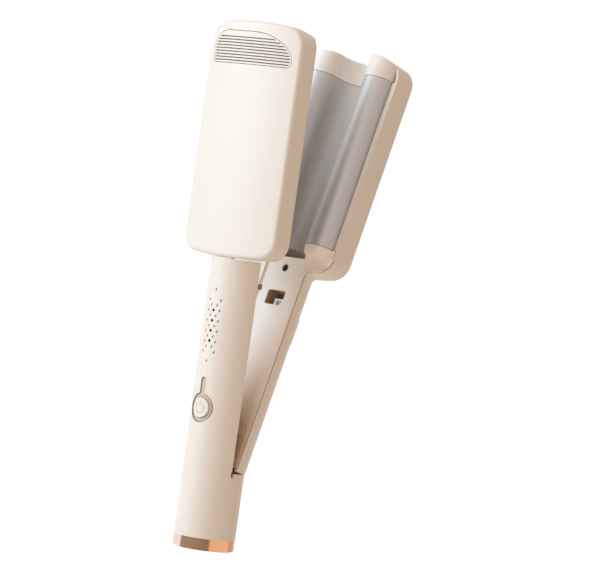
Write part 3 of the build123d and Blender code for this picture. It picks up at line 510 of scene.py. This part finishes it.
class SurfaceBuilder:
    """Makes the thin surface pieces and gives them their finish."""

    def __init__(self, library: MaterialLibrary) -> None:
        """Keeps the material library.

        Args:
            library: Source of materials.
        """
        self._library = library

    def mesh(
        self, name: str, points: np.ndarray, faces: Iterable[Iterable[int]], look: Look
    ) -> bpy.types.Object:
        """Object from points in millimetres and faces.

        Args:
            name: Name of the object.
            points: N by 3 array in millimetres, in the shared frame.
            faces: Point indices of each face.
            look: Finish of the piece.

        Returns:
            The linked object.
        """
        data = bpy.data.meshes.new(name)
        data.from_pydata((points * MM).tolist(), [], [[int(i) for i in face] for face in faces])
        data.validate()
        data.shade_smooth()
        thing = bpy.data.objects.new(name, data)
        bpy.context.scene.collection.objects.link(thing)
        data.materials.append(self._library.get(look))
        LOG.info("%s: %d faces, %s", name, len(data.polygons), look.value)
        return thing

    @staticmethod
    def on_cylinder(flat: np.ndarray, radius: float) -> np.ndarray:
        """Wraps flat points onto the front of a cylinder round Z.

        The angle is width over radius; X and Y are the radius times its sine and minus its cosine.

        Args:
            flat: N by 2 array of width along the surface and height.
            radius: Radius of the cylinder.

        Returns:
            N by 3 array of points.
        """
        angle = flat[:, 0] / radius
        return np.column_stack((radius * np.sin(angle), -radius * np.cos(angle), flat[:, 1]))

    def strip(self, path: np.ndarray, width: float, radius: float) -> Tuple[np.ndarray, np.ndarray]:
        """Flat ribbon on the cylinder: the path plus and minus half the width along its normal.

        Args:
            path: N by 2 array of the centre line, flat.
            width: Width of the ribbon.
            radius: Radius it lies on.

        Returns:
            Points and faces.
        """
        tangent = np.gradient(path, axis=0)
        tangent /= np.linalg.norm(tangent, axis=1)[:, None]
        side = np.column_stack((-tangent[:, 1], tangent[:, 0])) * width / 2
        left = self.on_cylinder(path + side, radius)
        right = self.on_cylinder(path - side, radius)
        return np.vstack((left, right)), ribbon_faces(len(path))


@dataclass(frozen=True)
class StatusMarks:
    """Small slanted marks in four columns round the row of lights, and one above and below it.

    Attributes:
        light_top: Height of the uppermost light, in millimetres.
        outer: Distance of the outer columns from the middle.
        inner: Distance of the inner columns.
        pitch: Rise from one row of marks to the next.
        rows: Number of rows, outer and inner in turn.
        first_rise: Rise of the first row over the uppermost light.
        single_rise: Rise of the single mark above over the uppermost light.
        single_low: Height of the single mark below.
        slant: Slant of the marks in the columns, in degrees.
        single_share: Share of that slant that the single marks have.
        half_width: Half width of a mark.
        half_height: Half height of a mark.
        bulge: How far both ends of a mark lean to the side.
        corners: Points round a mark.
        proud: Height of the marks over the handle.
    """

    light_top: float = 135.35
    outer: float = 4.35
    inner: float = 2.2
    pitch: float = 2.95
    rows: int = 11
    first_rise: float = 5.9
    single_rise: float = 11.85
    single_low: float = 106.5
    slant: float = 28.0
    single_share: float = 0.5
    half_width: float = 0.42
    half_height: float = 0.90
    bulge: float = 0.2
    corners: int = 16
    proud: float = 0.03

    def places(self) -> Tuple[np.ndarray, np.ndarray]:
        """Centres and slants: rows fall by the pitch, and sides and columns take turns.

        Returns:
            N by 2 array of width and height, and N slants in radians.
        """
        row = np.arange(self.rows)
        height = np.repeat(self.light_top + self.first_rise - row * self.pitch, 2)
        offset = np.repeat(np.where(row % 2 == 0, self.outer, self.inner), 2)
        side = np.tile((-1.0, 1.0), self.rows)
        singles = ((0.0, self.light_top + self.single_rise), (0.0, self.single_low))
        centres = np.vstack((singles, np.column_stack((side * offset, height))))
        share = np.concatenate(((self.single_share,) * 2, np.ones(2 * self.rows)))
        return centres, -math.radians(self.slant) * share

    def build(self, builder: SurfaceBuilder) -> bpy.types.Object:
        """Builds all the marks as one mesh: an oval, bulged to one side, turned and moved.

        Args:
            builder: Maker of surface meshes.

        Returns:
            The mesh object.
        """
        centres, slants = self.places()
        steps = np.linspace(0, 2 * math.pi, self.corners + 1)[:-1]
        across = self.half_width * np.cos(steps) + self.bulge * np.sin(steps) ** 2
        along = self.half_height * np.sin(steps)
        cosine, sine = np.cos(slants)[:, None], np.sin(slants)[:, None]
        width = across * cosine - along * sine + centres[:, :1]
        height = across * sine + along * cosine + centres[:, 1:]
        flat = np.column_stack((width.ravel(), height.ravel()))
        faces = np.arange(len(flat)).reshape(len(centres), self.corners)
        points = builder.on_cylinder(flat, HANDLE_RADIUS + self.proud)
        return builder.mesh("status_marks", points, faces, Look.MARK_BROWN)


@dataclass(frozen=True)
class PowerSign:
    """Generic power sign on the face of the button.

    Attributes:
        face_radius: Radius of the button's face, in millimetres.
        proud: Height of the sign over the face.
        half_width: Half width of the open ring.
        half_height: Half height of the open ring.
        start: First angle of the ring, in degrees.
        end: Last angle of the ring.
        bar_low: Height of the bar's lower end over the button's middle.
        bar_high: Height of its upper end.
        line: Width of the lines.
        ring_steps: Points along the ring.
        bar_steps: Points along the bar.
    """

    face_radius: float = 17.9
    proud: float = 0.03
    half_width: float = 2.9
    half_height: float = 3.1
    start: float = 125.0
    end: float = 415.0
    bar_low: float = 0.6
    bar_high: float = 4.2
    line: float = 0.42
    ring_steps: int = 41
    bar_steps: int = 6

    def build(self, builder: SurfaceBuilder) -> bpy.types.Object:
        """Open ring, its half sizes times cosine and sine of the angle, and an upright bar.

        Args:
            builder: Maker of surface meshes.

        Returns:
            The mesh object.
        """
        radius = self.face_radius + self.proud
        angle = np.radians(np.linspace(self.start, self.end, self.ring_steps))
        ring = np.column_stack(
            (self.half_width * np.cos(angle), BUTTON_Z + self.half_height * np.sin(angle))
        )
        rise = np.linspace(BUTTON_Z + self.bar_low, BUTTON_Z + self.bar_high, self.bar_steps)
        bar = np.column_stack((np.zeros(self.bar_steps), rise))
        ring_points, ring_faces = builder.strip(ring, self.line, radius)
        bar_points, bar_faces = builder.strip(bar, self.line, radius)
        points = np.vstack((ring_points, bar_points))
        faces = np.vstack((ring_faces, bar_faces + len(ring_points)))
        return builder.mesh("power_sign", points, faces, Look.MARK_SOFT)


@dataclass(frozen=True)
class KeyholeTrim:
    """Dark line round the keyhole plate, laid in the gap beside it.

    Attributes:
        circle: Radius of the round end, in millimetres.
        stem_half: Half width of the stem.
        stem_top: Height of the upper end of the stem.
        width: Width of the line.
        sunk: Depth of the line under the surface of the handle.
        ring_steps: Points along the round end.
        cap_steps: Points along the stem's end.
        even_steps: Points along the finished line.
    """

    circle: float = 8.4
    stem_half: float = 1.9
    stem_top: float = 97.4
    width: float = 0.42
    sunk: float = 0.12
    ring_steps: int = 61
    cap_steps: int = 17
    even_steps: int = 241

    def path(self) -> np.ndarray:
        """Outline: a circle that opens into a straight stem with a round end.

        Returns:
            N by 2 array of width and height, closed.
        """
        opening = math.asin(self.stem_half / self.circle)
        ring = np.linspace(math.pi / 2 + opening, 2.5 * math.pi - opening, self.ring_steps)
        bow = np.column_stack(
            (self.circle * np.cos(ring), BUTTON_Z + self.circle * np.sin(ring))
        )
        cap = np.linspace(0.0, math.pi, self.cap_steps)
        middle = self.stem_top - self.stem_half
        end = np.column_stack((self.stem_half * np.cos(cap), middle + self.stem_half * np.sin(cap)))
        return np.vstack((bow, end, bow[:1]))

    def build(self, builder: SurfaceBuilder) -> bpy.types.Object:
        """Lays the line on the handle, with points at even distances along the outline.

        Args:
            builder: Maker of surface meshes.

        Returns:
            The mesh object.
        """
        path = self.path()
        steps = np.linalg.norm(np.diff(path, axis=0), axis=1)
        along = np.concatenate(([0.0], np.cumsum(steps)))
        even = np.linspace(0.0, along[-1], self.even_steps)
        line = np.column_stack([np.interp(even, along, path[:, k]) for k in (0, 1)])
        points, faces = builder.strip(line, self.width, HANDLE_RADIUS - self.sunk)
        return builder.mesh("keyhole_trim", points, faces, Look.SEAM_BROWN)


@dataclass(frozen=True)
class ValleyShadeSheet:
    """Thin brown sheet in the valley below the back wave plate: painted shade that darkens the
    pocket.

    Attributes:
        radius: Radius of the sheet, just under that of the valley, in millimetres.
        axis_y: Depth of the valley's axis.
        low: Height of the pocket's floor.
        high: Height of the sheet's upper edge.
        margin: Angle kept free at both edges, in radians.
        steps: Points along the half circle.
    """

    radius: float = 12.42
    axis_y: float = 1.25
    low: float = 174.28
    high: float = 181.2
    margin: float = 0.04
    steps: int = 41

    def build(self, builder: SurfaceBuilder) -> bpy.types.Object:
        """Half a cylinder, radius times cosine and sine of the angle, with a half-round floor.

        Args:
            builder: Maker of surface meshes.

        Returns:
            The mesh object.
        """
        angle = np.linspace(self.margin, math.pi - self.margin, self.steps)
        across = self.radius * np.cos(angle)
        depth = self.axis_y + self.radius * np.sin(angle)
        lower = np.column_stack((across, depth, np.full(self.steps, self.low)))
        upper = np.column_stack((across, depth, np.full(self.steps, self.high)))
        faces = [*ribbon_faces(self.steps), np.arange(self.steps)]
        points = swung_open(np.vstack((lower, upper)))
        return builder.mesh("valley_shade_sheet", points, faces, Look.VALLEY_SHADE_BROWN)


@dataclass(frozen=True)
class ScrewRecessShade:
    """Brown sleeve of painted shade that darkens the screw recess of the back inner cover.

    Attributes:
        radius: Radius of the sleeve, just under that of the recess, in millimetres.
        height: Height of the recess's axis with the arm closed.
        front_y: Depth of the sleeve's front edge.
        back_y: Depth of the screw head.
        steps: Points round the sleeve.
    """

    radius: float = 2.15
    height: float = 167.4
    front_y: float = 0.53
    back_y: float = 3.78
    steps: int = 48

    def build(self, builder: SurfaceBuilder) -> bpy.types.Object:
        """A tube along Y seen from inside: radius times cosine and sine of the angle.

        Args:
            builder: Maker of surface meshes.

        Returns:
            The mesh object.
        """
        angle = np.linspace(0.0, 2.0 * math.pi, self.steps, endpoint=False)
        across = self.radius * np.cos(angle)
        up = self.height + self.radius * np.sin(angle)
        front = np.column_stack((across, np.full(self.steps, self.front_y), up))
        back = np.column_stack((across, np.full(self.steps, self.back_y), up))
        here = np.arange(self.steps)
        after = (here + 1) % self.steps
        faces = np.column_stack((here, after, self.steps + after, self.steps + here))
        points = swung_open(np.vstack((front, back)))
        return builder.mesh("screw_recess_shade", points, faces, Look.PAINTED_SHADE_BROWN)


@dataclass(frozen=True)
class WindowShadeSheet:
    """Brown sheet of painted shade behind the latch window: two side walls and a roof, open below
    for the catch.

    Attributes:
        half_width: Half the distance between the side walls, in millimetres.
        low: Height of the lower edge with the arm closed.
        high: Height of the roof.
        front_y: Depth of the front edge, in the window's own thickness.
        back_y: Depth of the back edge.
    """

    half_width: float = 6.84
    low: float = 145.4
    high: float = 153.5
    front_y: float = 0.8
    back_y: float = 10.5

    def build(self, builder: SurfaceBuilder) -> bpy.types.Object:
        """Four corners of a portal, once at the front and once at the back, and three walls.

        Args:
            builder: Maker of surface meshes.

        Returns:
            The mesh object.
        """
        across = self.half_width * np.array((-1.0, -1.0, 1.0, 1.0))
        up = np.array((self.low, self.high, self.high, self.low))
        corners = len(up)
        front = np.column_stack((across, np.full(corners, self.front_y), up))
        back = np.column_stack((across, np.full(corners, self.back_y), up))
        wall = np.arange(corners - 1)
        faces = np.column_stack((wall, corners + wall, corners + wall + 1, wall + 1))
        points = swung_open(np.vstack((front, back)))
        return builder.mesh("window_shade_sheet", points, faces, Look.WINDOW_SHADE_BROWN)


@dataclass(frozen=True)
class CoverSeam:
    """Dark line in the gap between the back shell and the inner cover on it.

    Attributes:
        flange_half: Half width of the cover along the handle, in millimetres.
        paddle_half: Half width of the paddle.
        paddle_bottom: Lowest point of the paddle.
        bottom_rise: Rise of the lower edge from the middle to the side.
        corner: Radius of the lower corners.
        neck: Radius of the hollow corners beside the handle.
        low: Height at which the line starts.
        high: Height at which the line ends.
        front: Depth of the cover's side of the gap.
        back: Depth of the shell's side of the gap.
        inset: Distance of the line from the outer edge; below zero it stands proud.
        arc_steps: Points along each arc.
    """

    flange_half: float = 17.6
    paddle_half: float = 36.2
    paddle_bottom: float = 165.8
    bottom_rise: float = 2.5
    corner: float = 11.0
    neck: float = 3.0
    low: float = 46.8
    high: float = 175.5
    front: float = -0.26
    back: float = 0.24
    inset: float = -0.02
    arc_steps: int = 17

    def _arc(
        self, centre: Tuple[float, float], radius: float, start: float, end: float
    ) -> np.ndarray:
        """Points on a circle: centre plus radius times cosine and sine of the angle.

        Args:
            centre: Centre of the circle.
            radius: Radius of the circle.
            start: First angle, in radians.
            end: Last angle, in radians.

        Returns:
            N by 2 array.
        """
        angle = np.linspace(start, end, self.arc_steps)
        across = centre[0] + radius * np.cos(angle)
        up = centre[1] + radius * np.sin(angle)
        return np.column_stack((across, up))

    def path(self) -> np.ndarray:
        """Right half of the outline: handle, hollow corner, arched lower edge and round corner.

        Returns:
            N by 2 array of width and height, closed pose.
        """
        bow = (self.paddle_half**2 + self.bottom_rise**2) / (2 * self.bottom_rise)
        bow_z = self.paddle_bottom + bow
        neck_x = self.flange_half + self.neck
        neck_z = bow_z - math.sqrt((bow + self.neck) ** 2 - neck_x**2)
        corner_x = self.paddle_half - self.corner
        corner_z = bow_z - math.sqrt((bow - self.corner) ** 2 - corner_x**2)
        neck_angle = math.atan2(bow_z - neck_z, -neck_x)
        corner_angle = math.atan2(corner_z - bow_z, corner_x)
        bow_start = math.atan2(neck_z - bow_z, neck_x)
        last = math.asin((self.high - corner_z) / (self.corner - self.inset))
        return np.vstack(
            (
                ((self.flange_half - self.inset, self.low),),
                self._arc((neck_x, neck_z), self.neck + self.inset, math.pi, neck_angle),
                self._arc((0.0, bow_z), bow - self.inset, bow_start, corner_angle),
                self._arc((corner_x, corner_z), self.corner - self.inset, corner_angle, last),
            )
        )

    def build(self, builder: SurfaceBuilder) -> bpy.types.Object:
        """Sets a ribbon on edge along both halves of the outline.

        Args:
            builder: Maker of surface meshes.

        Returns:
            The mesh object.
        """
        half = self.path()
        count = len(half)
        rows = [
            np.column_stack((side * half[:, 0], np.full(count, depth), half[:, 1]))
            for side in (1.0, -1.0)
            for depth in (self.front, self.back)
        ]
        faces = np.vstack((ribbon_faces(count), ribbon_faces(count, 2 * count)))
        return builder.mesh("cover_seam", swung_open(np.vstack(rows)), faces, Look.SEAM_BROWN)


@dataclass(frozen=True)
class AreaLight:
    """Soft square light aimed at the object.

    Attributes:
        name: Name of the light.
        place: Position in metres.
        size: Edge length in metres.
        power: Power in watts.
        colour: Linear colour.
        aim: Point that it is aimed at, in metres.
    """

    name: str
    place: Point
    size: float
    power: float
    colour: Colour
    aim: Point = (0.02, 0.02, 0.15)

    def build(self) -> bpy.types.Object:
        """Adds the light.

        Returns:
            The light object.
        """
        data = bpy.data.lights.new(self.name, "AREA")
        data.shape = "SQUARE"
        data.size = self.size
        data.energy = self.power
        data.color = self.colour
        thing = bpy.data.objects.new(self.name, data)
        bpy.context.scene.collection.objects.link(thing)
        direction = Vector(self.aim) - Vector(self.place)
        thing.location = self.place
        thing.rotation_euler = direction.to_track_quat("-Z", "Y").to_euler()
        LOG.info("light %s: %.1f W", self.name, self.power)
        return thing


@dataclass(frozen=True)
class FittedCamera:
    """Camera fitted to the photograph.

    Attributes:
        azimuth: Angle from -Y towards +X, in degrees.
        elevation: Angle over the floor, in degrees.
        roll: Turn about the line of sight, in degrees.
        distance: Distance from the target, in millimetres.
        target: Point in the middle of the picture, in millimetres.
        focal_pixels: Focal length in pixels.
        image_width: Width of the picture in pixels.
        sensor_width: Width of the sensor in millimetres.
        clip: Near and far limit of sight, in metres.
    """

    azimuth: float = 43.874
    elevation: float = 1.104
    roll: float = 7.921
    distance: float = 1890.5
    target: Point = (47.996, 0.0, 153.671)
    focal_pixels: float = 3385.4
    image_width: int = 600
    sensor_width: float = 36.0
    clip: Tuple[float, float] = (0.05, 60.0)

    def _axes(self) -> Tuple[Vector, Vector, Vector]:
        """Axes of the camera.

        Returns:
            Right, up and back vectors.
        """
        azimuth = math.radians(self.azimuth)
        elevation = math.radians(self.elevation)
        roll = math.radians(self.roll)
        back = Vector(
            (
                math.sin(azimuth) * math.cos(elevation),
                -math.cos(azimuth) * math.cos(elevation),
                math.sin(elevation),
            )
        )
        right = Vector((math.cos(azimuth), math.sin(azimuth), 0.0))
        up = back.cross(right)
        turned_right = right * math.cos(roll) + up * math.sin(roll)
        turned_up = up * math.cos(roll) - right * math.sin(roll)
        return turned_right, turned_up, back

    def build(self) -> bpy.types.Object:
        """Adds the camera at the photograph's viewing angle.

        Returns:
            The camera object.
        """
        right, up, back = self._axes()
        data = bpy.data.cameras.new("camera")
        data.sensor_width = self.sensor_width
        data.lens = self.focal_pixels * self.sensor_width / self.image_width
        data.clip_start, data.clip_end = self.clip
        thing = bpy.data.objects.new("camera", data)
        bpy.context.scene.collection.objects.link(thing)
        matrix = Matrix((right, up, back)).transposed().to_4x4()
        matrix.translation = Vector(self.target) * MM + back * self.distance * MM
        thing.matrix_world = matrix
        bpy.context.scene.camera = thing
        return thing


@dataclass(frozen=True)
class Studio:
    """Floor, world, lights and camera.

    Attributes:
        ambient: Colour of the soft light all round.
        ambient_strength: Strength of that light.
        floor_half: Half the floor's edge, in metres.
        floor_colour: Colour of the floor, linear.
        floor_roughness: Roughness of the floor.
        floor_glow: Strength of the white that the floor shows.
        floor_glow_share: Share of that white; the rest is floor with its shadow.
    """

    LIGHTS: ClassVar[Tuple[AreaLight, ...]] = (
        AreaLight("key", (-1.6, -1.9, 1.0), 1.6, 45.5, (0.63, 0.85, 1.0)),
        AreaLight("fill", (1.1, -2.2, 0.9), 1.3, 7.0, (0.86, 0.90, 1.0)),
        AreaLight("top", (0.0, -0.95, 2.2), 1.1, 12.5, (0.80, 0.90, 1.0)),
    )

    ambient: Colour = (0.65, 0.457, 0.292)
    ambient_strength: float = 0.69
    floor_half: float = 12.0
    floor_colour: Colour = (0.88, 0.79, 0.68)
    floor_roughness: float = 0.9
    floor_glow: float = 1.24
    floor_glow_share: float = 0.8

    @staticmethod
    def _visible_to_sight(
        nodes: bpy.types.Nodes, links: bpy.types.NodeLinks
    ) -> bpy.types.NodeSocket:
        """Mask that is one for camera, glossy and transmission rays.

        Args:
            nodes: Nodes of the tree to add to.
            links: Links of the same tree.

        Returns:
            The socket with the mask.
        """
        path = nodes.new("ShaderNodeLightPath")
        first = nodes.new("ShaderNodeMath")
        first.operation = "MAXIMUM"
        second = nodes.new("ShaderNodeMath")
        second.operation = "MAXIMUM"
        links.new(path.outputs["Is Camera Ray"], first.inputs[0])
        links.new(path.outputs["Is Glossy Ray"], first.inputs[1])
        links.new(first.outputs[0], second.inputs[0])
        links.new(path.outputs["Is Transmission Ray"], second.inputs[1])
        return second.outputs[0]

    def world(self) -> None:
        """Warm soft light all round, seen as plain white."""
        world = bpy.data.worlds.new("studio")
        world.use_nodes = True
        bpy.context.scene.world = world
        nodes, links = world.node_tree.nodes, world.node_tree.links
        nodes.clear()
        output = nodes.new("ShaderNodeOutputWorld")
        light = nodes.new("ShaderNodeBackground")
        light.inputs["Color"].default_value = (*self.ambient, 1.0)
        light.inputs["Strength"].default_value = self.ambient_strength
        white = nodes.new("ShaderNodeBackground")
        white.inputs["Color"].default_value = (1.0, 1.0, 1.0, 1.0)
        white.inputs["Strength"].default_value = 1.0
        mix = nodes.new("ShaderNodeMixShader")
        links.new(self._visible_to_sight(nodes, links), mix.inputs["Fac"])
        links.new(light.outputs["Background"], mix.inputs[1])
        links.new(white.outputs["Background"], mix.inputs[2])
        links.new(mix.outputs["Shader"], output.inputs["Surface"])

    def floor(self) -> bpy.types.Object:
        """Pale floor that looks white and still takes a faint shadow.

        Returns:
            The floor object.
        """
        data = bpy.data.meshes.new("floor")
        half = self.floor_half
        data.from_pydata(
            [(-half, -half, 0.0), (half, -half, 0.0), (half, half, 0.0), (-half, half, 0.0)],
            [],
            [[0, 1, 2, 3]],
        )
        thing = bpy.data.objects.new("floor", data)
        bpy.context.scene.collection.objects.link(thing)
        material = bpy.data.materials.new("floor")
        material.use_nodes = True
        nodes, links = material.node_tree.nodes, material.node_tree.links
        shader = nodes["Principled BSDF"]
        shader.inputs["Base Color"].default_value = (*self.floor_colour, 1.0)
        shader.inputs["Roughness"].default_value = self.floor_roughness
        glow = nodes.new("ShaderNodeEmission")
        glow.inputs["Color"].default_value = (1.0, 1.0, 1.0, 1.0)
        glow.inputs["Strength"].default_value = self.floor_glow
        share = nodes.new("ShaderNodeMath")
        share.operation = "MULTIPLY"
        share.inputs[1].default_value = self.floor_glow_share
        mix = nodes.new("ShaderNodeMixShader")
        links.new(self._visible_to_sight(nodes, links), share.inputs[0])
        links.new(share.outputs[0], mix.inputs["Fac"])
        links.new(shader.outputs["BSDF"], mix.inputs[1])
        links.new(glow.outputs["Emission"], mix.inputs[2])
        links.new(mix.outputs["Shader"], nodes["Material Output"].inputs["Surface"])
        data.materials.append(material)
        return thing

    def build(self) -> None:
        """Builds the whole studio."""
        self.world()
        self.floor()
        for light in self.LIGHTS:
            light.build()
        FittedCamera().build()


class Waver:
    """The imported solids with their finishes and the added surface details."""

    SMOOTH_ANGLE = math.radians(32.0)
    # The latch hook takes a painted shade brown, and the back inner cover painted shade towards the
    # hinge.
    OWN_FINISH: ClassVar[Dict[str, Look]] = {
        "cover_screw": Look.SCREW_BRONZE,
        "latch_hook": Look.PAINTED_SHADE_BROWN,
        "back_inner_cover": Look.COVER_PAINTED_SHADE,
    }

    def __init__(self, frame: Dict[str, Any]) -> None:
        """Keeps the frame and prepares the builders.
        """
        self._frame = frame
        self._library = MaterialLibrary()
        self._builder = SurfaceBuilder(self._library)

    def dress_solids(self) -> None:
        """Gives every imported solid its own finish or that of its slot, and smooth faces."""
        entries = self._frame["record"]["subparts"]
        looks = {entry["node"]: Look(entry["material_slot"]) for entry in entries}
        looks.update(self.OWN_FINISH)
        for name, thing in self._frame["nodes"].items():
            data = thing.data
            data.materials.clear()
            data.materials.append(self._library.get(looks[name]))
            data.shade_smooth()
            data.set_sharp_from_angle(angle=self.SMOOTH_ANGLE)
            LOG.info("%s: %s", name, looks[name].value)

    def add_details(self) -> None:
        """Adds the marks, signs, lines and the brown sheets of painted shade to their bodies."""
        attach(StatusMarks().build(self._builder), Body.FRONT.value)
        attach(PowerSign().build(self._builder), Body.BUTTON.value)
        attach(KeyholeTrim().build(self._builder), Body.FRONT.value)
        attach(CoverSeam().build(self._builder), Body.BACK.value)
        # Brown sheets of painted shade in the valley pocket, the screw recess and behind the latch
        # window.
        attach(ValleyShadeSheet().build(self._builder), Body.BACK.value)
        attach(ScrewRecessShade().build(self._builder), Body.BACK.value)
        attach(WindowShadeSheet().build(self._builder), Body.BACK.value)

    def build(self) -> None:
        """Builds the dressed object."""
        self.dress_solids()
        self.add_details()
        LOG.info("dressed %d solids", len(self._frame["nodes"]))


def main() -> None:
    """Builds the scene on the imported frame."""
    logging.basicConfig(level=logging.INFO)
    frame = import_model()
    Waver(frame).build()
    Studio().build()
    bpy.context.scene.view_settings.view_transform = "Standard"


if __name__ == "__main__":
    main()
